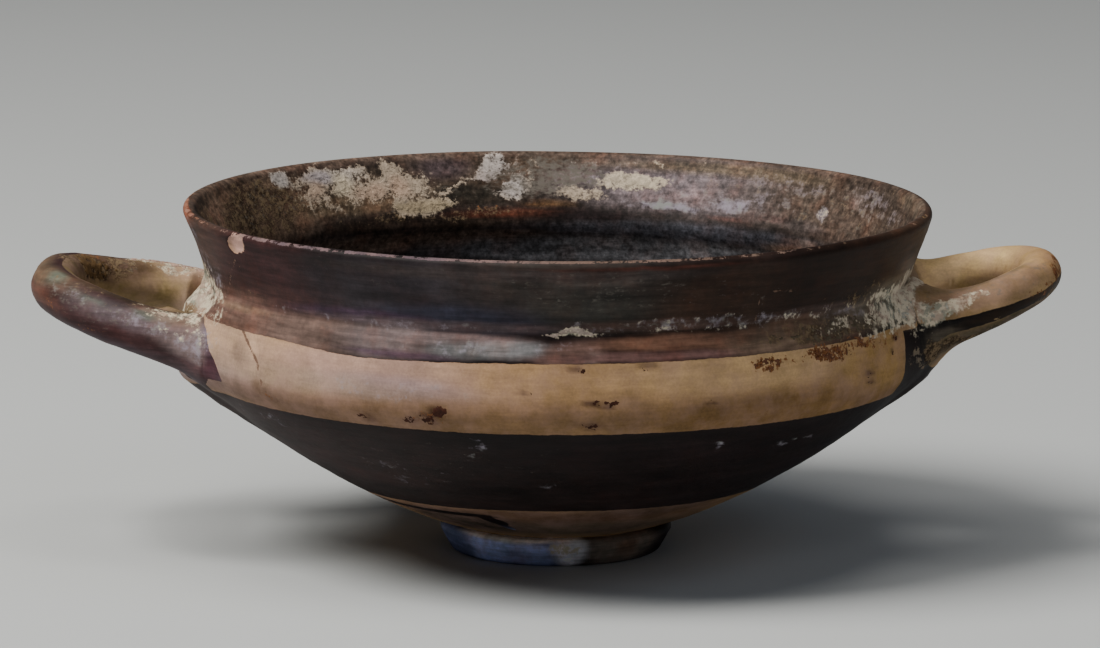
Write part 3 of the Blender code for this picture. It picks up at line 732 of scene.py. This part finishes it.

# Where they only stain the skin, where it is rubbed or flecked, and where a lilac-grey bloom lies on it, one
# row of which is a painted highlight on the shoulder
STAINED = {
    "earth": {
        "inside": [(112, 57.8, 20, 1.4, 0.5), (30, 64, 40, 6, 0.3), (-170, 63, 24, 7, 0.55)],
        "outside": [(-30, 57, 14, 3, 0.45)],
        "left": [
            (14, 130, 20, 30, 0.6), (58, 120, 20, 30, 0.6), (20, 90, 30, 20, 0.5), (-50, 70, 40, 24, 0.34),
        ],
        "right": [
            (-14, 16, 10, 22, 0.6), (-86, -52, 18, 24, 0.85), (-50, -52, 34, 16, 0.4), (70, 84, 30, 6, 0.7),
        ],
    },
    "rust": {
        "outside": [(-109, 39.2, 4, 1.6, 0.3), (-138, 39.4, 3, 1.6, 0.4)],
        "left": [(36, 106, 20, 18, 0.5), (-58, -20, 24, 18, 0.3)],
        "right": [(-14, 28, 13, 22, 0.62), (-32, 6, 18, 12, 0.5)],
        "inside": [(100, 58.8, 8, 0.6, 0.3)],
    },
    "lime": {
        "inside": [
            (73, 67.6, 1.2, 1.2, 0.6), (130, 61.6, 9, 2, 0.5), (37.4, 61.8, 1.6, 1.5, 0.6),
            (131, 65, 10, 3.2, 0.55), (119, 63.4, 8, 3, 0.5),
        ],
        "outside": [
            (-72, 55.4, 20, 0.6, 0.22), (-72, 57.4, 20, 0.5, 0.2), (-46, 56, 12, 1, 0.26),
            (-84, 3.4, 9, 1.4, 0.7), (-8, 53, 12, 6.4, 0.95), (-172, 53, 11, 6.4, 0.95),
            (-13, 55.8, 9, 3.6), (-168, 51.4, 12, 3, 0.5),
        ],
        "left": [(-92, 30, 6, 16, 0.4), (74, 126, 14, 26, 0.5)],
    },
}


def dirtied(kind):
    """How thick a kind of dirt lies at each point of the skin, as the strongest of its crusts and stains."""
    lying = [STAINED[kind]] + [rows for name, rows in CRUSTED.items() if name.endswith(kind)]
    rows = {side: [row for listed in lying for row in listed.get(side, ())] for side in SIDES}
    return spread_over(skin_points, where, rows)


risen = uneven(azimuth, height, radius)[1]
rim_turn = np.degrees(np.arctan2(height - rim_middle[1] - risen, radius - rim_middle[0]))
rubbed = blots(
    azimuth, 0 * azimuth,
    [(-104, 0, 44, 1), (-148, 0, 20, 1, 0.35), (-174, 0, 14, 1, 0.9), (-40, 0, 34, 1, 0.22)],
)
rim_edge = smooth(30, 48, rim_turn) * smooth(100, 82, rim_turn) * smooth(67.5, 68.3, height)
rim_edge = rim_edge * (0.3 + 0.26 * rubbed)
spalled = 1.5 * smooth(1.2, 0.9, from_spall(azimuth, height)) * (1 - inside)
WORN = {
    "outside": [
        (-178, 67.5, 10, 2.4, 0.5), (-150, 60, 6, 6, 0.25), (-70, 1.5, 12, 2, 0.4),
        (-16, 43.6, 4, 3.6, 0.62),
    ],
    "inside": [(70, 67.8, 40, 1, 0.3)],
    "left": [(0, 92, 120, 16, 0.3)],
    "right": [(-48, -40, 66, 14, 0.42), (-20, -30, 22, 30, 0.45), (-90, -52, 14, 26, 0.52)],
}
SHEEN_AND_BLOOM_ROWS = {
    "outside": [
        # The first row, on the shoulder, is a painted highlight on the slip
        (-100, 52.4, 14, 1.6, 0.3), (-122, 55.8, 26, 0.9, 0.3), (-166, 62, 4, 8, 0.4),
        (-160, 58.2, 6, 2, 0.5), (-37, 55.2, 7, 1.2, 0.5), (-83, 3.2, 7, 2.4, 0.5),
        (-115, 43.4, 14, 2, 0.3), (-160, 46, 6, 3, 0.4), (-103.2, 31.4, 1.8, 2.8, 0.3),
        (-91.5, 23.4, 1.5, 0.9, 0.34), (-64, 56.4, 26, 1.4, 0.4), (-122, 25, 12, 4, 0.2),
        (-62, 32, 1.4, 0.35, 0.8), (-45, 30.5, 5, 0.4, 0.6), (-148, 33, 12, 2, 0.25),
    ],
    "inside": [
        (70, 59.8, 6.5, 1, 0.95), (58, 60.2, 3.6, 1.7, 0.85), (50, 62.4, 5.4, 2.4, 0.5),
        (37.4, 61.8, 1.7, 1.8, 0.9), (26, 66, 9, 2.4, 0.42), (46, 66, 14, 2.2, 0.34),
        (20, 64, 12, 2.4, 0.34), (86, 65, 14, 3, 0.34), (66, 62.2, 9, 1.4, 0.36),
    ],
    "left": [(-86, 30, 14, 24, 0.4), (-96, 10, 8, 20, 0.5), (-60, 34, 30, 20, 0.25)],
}
FLECKS = {
    "outside": [
        (-84, 64, 18, 5, 0.5), (-66, 62, 16, 5, 0.35), (-74, 56.6, 22, 1.2, 0.6), (-112, 30, 30, 6, 0.3),
        (-118, 66, 20, 3, 0.35),
    ],
    "inside": [(92, 65, 11, 4.4, 1.1), (44, 62, 40, 5, 0.5), (118, 63, 24, 5, 0.5), (150, 64, 16, 5, 0.55)],
    "left": [(-64, 30, 44, 40, 0.6), (70, 128, 18, 34, 0.7)],
    "right": [(-60, 60, 50, 36, 0.6)],
}
wear = np.maximum.reduce([rim_edge, spalled, spread_over(skin_points, where, WORN)])
sheen_and_bloom, flecks = (spread_over(skin_points, where, rows) for rows in (SHEEN_AND_BLOOM_ROWS, FLECKS))

# A long scratch through the reserved band and three short ones on the lip, as the distance of each point
# from the edge of the nearest stroke, which has a line and half a width
STROKES = [
    ([(-147.4, 50.2), (-144.5, 47.5), (-142.3, 45), (-140.5, 40), (-139, 38.3)], 0.3),
    ([(-149, 64), (-153, 60), (-156, 56)], 0.22),
    ([(-57.4, 61.4), (-58, 58.4), (-57.6, 56.2)], 0.12),
    ([(-55.4, 61.9), (-51, 61.6)], 0.2),
]
stroke_gap = np.full(len(skin_points), 3.0)
for line, half in STROKES:
    for (a1, z1), (a2, z2) in zip(line[:-1], line[1:]):
        run_a, run_z = (a2 - a1) * DEGREE, z2 - z1
        gap_a, gap_z = (azimuth - a1) * DEGREE, height - z1
        share = np.clip((gap_a * run_a + gap_z * run_z) / (run_a ** 2 + run_z ** 2), 0, 1)
        stroke_gap = np.minimum(stroke_gap, np.hypot(gap_a - share * run_a, gap_z - share * run_z) - half)
stroke_gap = np.where(inside > 0, 3.0, stroke_gap)


def give(mesh, name, values):
    """Stores three values for each point of a mesh under a name that its material reads."""
    field = mesh.attributes.new(name, "FLOAT_VECTOR", "POINT")
    field.data.foreach_set("vector", np.ascontiguousarray(values, np.float32).ravel())


give(joined, "slip_tone", tones(skin_points, where, SLIP_TONES))
give(joined, "clay_tone", tones(skin_points, where, CLAY_TONES))
give(joined, "edges", np.stack([painted, stroke_gap, inside], -1))
# The second value of wear is the lilac-grey bloom, with the painted highlight on the shoulder
give(joined, "wear", np.stack([wear, sheen_and_bloom, flecks], -1))
give(joined, "dirt", np.stack([dirtied(kind) for kind in ("earth", "rust", "lime")], -1))


def fill(tree, node, inputs):
    """Gives each named input of a node its value, an sRGB hex colour or another node's output to read."""
    for name, value in inputs.items():
        if isinstance(value, bpy.types.NodeSocket):
            tree.links.new(value, node.inputs[name])
        else:
            node.inputs[name].default_value = linear(value) if isinstance(value, str) else value


def add(tree, kind, inputs=(), out=0, **settings):
    """Adds a shader node with its settings and inputs, and gives one of its outputs."""
    made = tree.nodes.new("ShaderNode" + kind)
    for name, value in settings.items():
        setattr(made, name, value)
    fill(tree, made, dict(inputs))
    return made.outputs[out]


def new_material(name):
    """A material, with its nodes and its shader."""
    made = bpy.data.materials.new(name)
    made.use_nodes = True
    return made, made.node_tree, made.node_tree.nodes["Principled BSDF"]


def noise(tree, place, size, detail=4.0, roughness=0.6):
    """A noise whose lumps are of a size in millimetres."""
    settings = {"Vector": place, "Scale": 1 / (size * MM), "Detail": detail, "Roughness": roughness}
    return add(tree, "TexNoise", settings)


def topped(tree, field, amounts):
    """A field with other values added to it, each times an amount."""
    for value, amount in amounts:
        field = add(tree, "Math", {0: value, 1: amount, 2: field}, operation="MULTIPLY_ADD")
    return field


def share_of(tree, field, amounts, low, high):
    """A mask: a field, with some noises added about their middles, that eases from 0 at low to 1 at high."""
    middle = sum(amount for _, amount in amounts) / 2
    ramp = {"Value": topped(tree, field, amounts), "From Min": low + middle, "From Max": high + middle}
    return add(tree, "MapRange", ramp, interpolation_type="SMOOTHSTEP")


def stain(tree, field, amounts, low, high):
    """A mask like share_of's that stays within where the field is above nothing."""
    within = add(tree, "MapRange", {"Value": field, "From Max": 0.2})
    return add(tree, "Math", {0: share_of(tree, field, amounts, low, high), 1: within}, operation="MULTIPLY")


def laid(tree, under, over, share):
    """One colour laid over another by a share."""
    return add(tree, "Mix", {0: share, 6: under, 7: over}, out=2, data_type="RGBA")


def shaded(tree, colour, *noises):
    """A colour made darker and lighter by noises, each with its factors for dark and for light."""
    for value, dark, light in noises:
        ramp = {"Value": value, "From Min": 0.32, "From Max": 0.68, "To Min": dark, "To Max": light}
        colour = add(tree, "VectorMath", {0: colour, "Scale": add(tree, "MapRange", ramp)}, operation="SCALE")
    return colour


def parts(tree, name):
    """The three values stored for each point under a name."""
    stored = add(tree, "Attribute", out="Vector", attribute_name=name)
    return add(tree, "SeparateXYZ", {0: stored}).node.outputs


# Buff earthenware, fired to about 900 degrees, under a thin clay slip. The slip has a dull sheen, is
# streaked along the wheel's turn where the brush ran dry, and wears off in ragged flakes to the matt
# clay. Earth lies on it as brown grit, rust as a red-brown stain and lime as a chalky film. The grit of
# such clay is about 0.2 mm and a brush's bristle marks 0.3 mm: they are drawn at 0.5 and 0.9 mm, as coarse
# as they need to be to show
clay, tree, shader = new_material("slip_on_fired_clay")
place = add(tree, "TexCoord", out="Object")
slip_tones = add(tree, "Attribute", out="Vector", attribute_name="slip_tone")
clay_tones = add(tree, "Attribute", out="Vector", attribute_name="clay_tone")
edges, worn, dirt = (parts(tree, name) for name in ("edges", "wear", "dirt"))
flat = add(tree, "VectorMath", {0: place, 1: (0.1, 0.1, 1.0)}, operation="MULTIPLY")
drawn = add(tree, "VectorMath", {0: place, 1: (0.45, 0.45, 1.0)}, operation="MULTIPLY")
apart = add(tree, "VectorMath", {0: place, 1: (0.31, 0.17, 0.23)}, operation="ADD")
streaks = noise(tree, flat, 0.9)
wash = noise(tree, flat, 4.2, 3.0, 0.55)
clouds = noise(tree, place, 9.0, 4.0, 0.62)
patches = noise(tree, place, 3.6, 5.0)
ragged = noise(tree, place, 1.4, 4.0, 0.62)
grit = noise(tree, place, 0.5, 2.0, 0.55)
blush = noise(tree, apart, 6.0, 5.0, 0.65)
bare = shaded(
    tree, clay_tones, (streaks, 0.86, 1.1), (grit, 0.9, 1.08), (clouds, 0.84, 1.14), (patches, 0.88, 1.1),
)
flush = add(tree, "MapRange", {"Value": blush, "From Min": 0.4, "From Max": 0.66, "To Max": 0.3})
bare = laid(tree, bare, "#a8877e", flush)
coat = shaded(
    tree, slip_tones, (wash, 0.72, 1.3), (streaks, 0.7, 1.3), (clouds, 0.75, 1.25), (ragged, 0.82, 1.18),
)
redder = add(tree, "VectorMath", {0: coat, 1: (1.35, 0.92, 0.78)}, operation="MULTIPLY")
reddened = add(tree, "MapRange", {"Value": blush, "From Min": 0.46, "From Max": 0.7, "To Max": 0.5})
coat = laid(tree, coat, redder, reddened)
coat = laid(tree, coat, shaded(tree, coat, (ragged, 0.55, 1.5), (grit, 0.8, 1.25)), edges[2])
under_slip = share_of(tree, edges[0], [(patches, 0.5), (ragged, 0.3), (streaks, 0.15)], -0.08, 0.08)
worn_off = share_of(tree, worn[0], [(patches, 0.7), (ragged, 0.7), (grit, 0.4)], 0.44, 0.54)
kept = add(tree, "Math", {0: under_slip, 1: worn_off}, operation="SUBTRACT", use_clamp=True)
scraped = share_of(tree, edges[1], [(ragged, 0.9), (grit, 0.5)], 0.1, -0.16)
# Lilac-grey bloom on the slip, and on the shoulder a painted highlight in the same colours
sheen_and_bloom_share = stain(tree, worn[1], [(patches, 1.4), (ragged, 1.6), (streaks, 0.5), (grit, 0.3)], 0.3, 1.1)
sheen_and_bloom_tint = laid(tree, "#948c9a", "#888a88", share_of(tree, blush, [(ragged, 0.4)], 0.45, 0.66))
earthy = stain(tree, dirt[0], [(patches, 1.2), (ragged, 1.3), (grit, 0.5)], 0.36, 0.8)
soil = laid(tree, "#2c2119", "#75634c", share_of(tree, ragged, [(grit, 0.5)], 0.38, 0.66))
rusty = stain(tree, dirt[1], [(patches, 0.9), (ragged, 1.7), (grit, 0.9)], 0.45, 0.64)
rust = laid(tree, "#48291a", "#7f5333", share_of(tree, grit, [], 0.35, 0.65))
limed = stain(tree, dirt[2], [(patches, 1.5), (ragged, 1.8), (grit, 0.9)], 0.32, 0.84)
chalk = laid(tree, "#8b8c7e", "#ad9a8a", share_of(tree, blush, [(patches, 0.6)], 0.42, 0.56))
chalk = laid(tree, chalk, "#c6baa4", share_of(tree, ragged, [(clouds, 0.6)], 0.42, 0.56))
chalk = laid(tree, chalk, shaded(tree, clay_tones, (ragged, 0.75, 1.25), (grit, 0.85, 1.15)), edges[2])
fleck = stain(tree, worn[2], [(noise(tree, drawn, 0.6, 3.0), 2.4), (patches, 1.2), (ragged, 0.6)], 0.62, 1.5)
colour = laid(tree, bare, coat, kept)
for over, share in (
    ("#6f5648", scraped), (sheen_and_bloom_tint, sheen_and_bloom_share), (soil, earthy), (rust, rusty), (chalk, limed), ("#68625b", fleck),
):
    colour = laid(tree, colour, over, share)
matt = add(tree, "Math", {0: earthy, 1: limed}, operation="MAXIMUM")
gloss = add(tree, "Math", {0: kept, 1: matt}, operation="SUBTRACT", use_clamp=True)
roughness = add(tree, "MapRange", {"Value": gloss, "To Min": 0.8, "To Max": 0.45})
roughness = topped(tree, roughness, [(ragged, 0.2)])
relief = topped(tree, kept, [(streaks, 0.6), (grit, 0.6), (matt, 2.0), (scraped, -2.0)])
bump = add(tree, "Bump", {"Height": relief, "Strength": 1.0, "Distance": 0.04 * MM})
fill(tree, shader, {"Base Color": colour, "Roughness": roughness, "Specular IOR Level": 0.12, "Normal": bump})
joined.materials.clear()
joined.materials.append(clay)
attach(fired_cup, "root")
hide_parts("skyphos")


# The crusts. Lime, earth and rust that the burial left on the clay, in lumps up to a third of a millimetre
# thick. Each is a thin closed shell grown on the cup's own facets, with its foot sunk in the skin, where
# its soft ovals and two sizes of grain reach high enough.
SUNK = 0.3
corners = read(joined.loop_triangles, "vertices", np.int32)
skin_normals = read(joined.vertices, "normal").astype(float)


def single_edges(triangles, count):
    """The edges that only one triangle has, each run the way that its triangle runs."""
    runs = triangles[:, [0, 1, 1, 2, 2, 0]].reshape(-1, 2)
    keys = runs.min(1).astype(np.int64) * count + runs.max(1)
    _, back, times = np.unique(keys, return_inverse=True, return_counts=True)
    return runs[times[back.ravel()] == 1]


def crust(name, thickness, lump, seed, ground, layers=(), order=4, level=0.5):
    """Grows a crust: facets near its ovals are split finely, and those that it covers are thickened.

    Its depth goes with the root of how far the ovals' strength, with lumps of a size added, is above a
    level. Where two covered patches touch at a point only, the facets round that point join them.
    """
    rows = CRUSTED[name]
    spots = [(i, j) for i in range(order + 1) for j in range(order + 1 - i)]
    number = {spot: place for place, spot in enumerate(spots)}
    weights = np.array([(i, j, order - i - j) for i, j in spots]) / order
    small = [
        (number[i, j], number[i + 1, j], number[i, j + 1]) for i in range(order) for j in range(order - i)
    ]
    small += [
        (number[i + 1, j], number[i + 1, j + 1], number[i, j + 1])
        for i in range(order - 1) for j in range(order - 1 - i)
    ]
    chosen = corners[(spread_over(skin_points, where, rows)[corners] > 0.08).any(1)]
    points = np.einsum("wk,fkd->fwd", weights, skin_points[chosen]).reshape(-1, 3)
    normals = np.einsum("wk,fkd->fwd", weights, skin_normals[chosen]).reshape(-1, 3)
    places = np.round(points * 5000).astype(np.int64)
    _, first, back = np.unique(places, axis=0, return_index=True, return_inverse=True)
    points, normals = points[first], normals[first]
    normals = normals / np.linalg.norm(normals, axis=1, keepdims=True)
    triangles = back.reshape(len(chosen), -1)[:, small].reshape(-1, 3)
    here = whereabouts(points)
    lumps = 0.4 * grain(points, lump, seed) + 0.25 * grain(points, lump / 2.2, seed + 1)
    rise = spread_over(points, here, rows) + lumps - level
    kept = (rise[triangles] > 0).any(1)
    for step in range(14):
        busy = np.bincount(single_edges(triangles[kept], len(points)).ravel(), minlength=len(points)) > 2
        if step < 7:
            kept = kept | busy[triangles].any(1)
        else:
            kept = kept & ~busy[triangles].any(1)
    triangles = triangles[kept]
    used, triangles = np.unique(triangles, return_inverse=True)
    triangles = triangles.reshape(-1, 3)
    points, normals, rise = points[used], normals[used], rise[used]
    here = whereabouts(points)
    depth = np.where(rise > 0, thickness * np.sqrt(np.clip(rise, 0, 1)), -0.06)
    top, foot = points + normals * depth[:, None], points - normals * SUNK
    count = len(points)
    rim = single_edges(triangles, count)
    walls = np.stack([rim[:, 1], rim[:, 0], rim[:, 0] + count, rim[:, 1] + count], -1)
    faces = triangles.tolist() + (triangles[:, ::-1] + count).tolist() + walls.tolist()
    made = mesh_object(name, np.vstack([top, foot]), faces)
    shade = tones(points, here, {side: (ground, layers) for side in SIDES})
    give(made.data, "tint", np.vstack([shade, shade]))
    give(made.data, "rise", np.repeat(np.tile(np.clip(rise, 0, 1), 2)[:, None], 3, axis=1))
    made.data.materials.append(burial_crust)
    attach(made, "root")


# Burial crust: chalky lime with earth and rust bound in it, matt and gritty, and darker in its hollows. Its
# finest grains, a tenth of a millimetre across, are drawn four times as coarse, as they need to be to show
burial_crust, tree, shader = new_material("chalky_burial_crust")
place = add(tree, "TexCoord", out="Object")
tint = add(tree, "Attribute", out="Vector", attribute_name="tint")
ragged = noise(tree, place, 1.4, 4.0, 0.62)
patches = noise(tree, place, 3.6)
grit = noise(tree, place, 0.4, 2.0, 0.55)
colour = shaded(tree, tint, (ragged, 0.75, 1.2), (grit, 0.82, 1.15), (patches, 0.8, 1.15))
dusty = share_of(tree, parts(tree, "rise")[0], [(ragged, 0.5)], 0.22, 0.0)
colour = laid(tree, colour, shaded(tree, tint, (grit, 0.55, 0.9)), dusty)
bump = add(tree, "Bump", {"Height": grit, "Strength": 1.0, "Distance": 0.06 * MM})
fill(tree, shader, {"Base Color": colour, "Roughness": 0.92, "Specular IOR Level": 0.25, "Normal": bump})

crust("back_wall_lime", 0.12, 0.6, 51, "#ac9c8a", BACK_WALL_TINTS, level=0.92)
crust(
    "left_wall_earth", 0.09, 0.5, 53, "#75634f",
    [("#6d5344", (159, 64, 5, 4, 0.8), (148, 60.6, 5, 2.4, 0.7)), ("#7c6f55", (151, 65, 3, 3, 0.7))],
    level=0.98,
)
crust("neck_lime", 0.15, 0.5, 55, "#9c8e84", order=5, level=0.66)
crust("left_root_lime", 0.16, 0.7, 57, "#b09a88", level=0.84)
crust("right_root_lime", 0.12, 0.8, 59, "#a3a094", level=1.12)
crust("dark_specks", 0.07, 0.45, 61, "#3a1d12", order=6, level=0.66)
crust("shoulder_rust", 0.2, 0.45, 63, "#694330", order=5, level=0.76)
crust("shoulder_earth", 0.2, 0.8, 65, "#5a4f3f", order=3, level=0.74)
crust("left_handle_earth", 0.26, 0.7, 67, "#5a4429", level=0.8)
crust("left_handle_lime", 0.28, 0.7, 69, "#a58a7c", level=0.6)
crust("right_handle_lime", 0.18, 0.6, 71, "#a08a76", level=0.56)


# The table, a plain pale sheet wide enough to fill the view, which isn't part of the object
table_mesh = bpy.data.meshes.new("table")
half_width, front, back = 4, -3, 5
table_mesh.from_pydata(
    [(-half_width, front, 0), (half_width, front, 0), (half_width, back, 0), (-half_width, back, 0)], [],
    [(0, 1, 2, 3)],
)
table = bpy.data.objects.new("table", table_mesh)
bpy.context.scene.collection.objects.link(table)
paper, tree, shader = new_material("pale_paper")
fill(tree, shader, {"Base Color": "#b6babc", "Roughness": 0.9})
table_mesh.materials.append(paper)


# The light, one broad soft source from the upper left, a weaker one overhead and a weak fill from the right
def soft_light(name, azimuth, elevation, distance, width, power, tone):
    """An area light that looks at the cup from an azimuth and an elevation."""
    turn, lift = np.radians([azimuth, elevation])
    place = Vector((np.cos(lift) * np.cos(turn), np.cos(lift) * np.sin(turn), np.sin(lift))) * distance
    lamp = bpy.data.lights.new(name, "AREA")
    lamp.shape, lamp.size, lamp.energy, lamp.color = "DISK", width, power, linear(tone)[:3]
    shown = bpy.data.objects.new(name, lamp)
    shown.location = place + Vector((0, 0, 0.03))
    shown.rotation_euler = place.to_track_quat("Z", "Y").to_euler()
    bpy.context.scene.collection.objects.link(shown)


soft_light("window", -155, 54, 1.6, 0.9, 38, "#fffaf2")
soft_light("ceiling", -90, 80, 1.6, 0.9, 8, "#fffaf2")
soft_light("fill", -25, 40, 1.8, 1.0, 4.2, "#f2f6ff")
world = bpy.data.worlds.new("room")
world.use_nodes = True
fill(world.node_tree, world.node_tree.nodes["Background"], {"Color": "#e6eaf0", "Strength": 0.1})
bpy.context.scene.world = world


# The camera, a long lens a little above the rim, turned a touch about its own line
DISTANCE, TILT, ROLL, LENS = 1.176, np.radians(10.158), np.radians(0.232), 191.53
AIM_RIGHT, AIM_UP = -0.00129, 0.01011
reference = Vector((AXIS_X * MM, 0, 0.035))
right = Vector((1, 0, 0))
ahead = Vector((0, np.cos(TILT), -np.sin(TILT)))
above = Vector((0, np.sin(TILT), np.cos(TILT)))
place = reference - ahead * DISTANCE
looking = (reference + above * AIM_UP + right * AIM_RIGHT - place).normalized()
across = looking.cross(above).normalized()
upright = across.cross(looking)
rolled = across * np.cos(ROLL) + upright * np.sin(ROLL)
standing = upright * np.cos(ROLL) - across * np.sin(ROLL)
lens = bpy.data.cameras.new("camera")
lens.lens, lens.sensor_width, lens.clip_start, lens.clip_end = LENS, 36, 0.05, 20
camera = bpy.data.objects.new("camera", lens)
turned = Matrix((rolled, standing, -looking)).transposed()
camera.matrix_world = Matrix.Translation(place) @ turned.to_4x4()
bpy.context.scene.collection.objects.link(camera)
bpy.context.scene.camera = camera
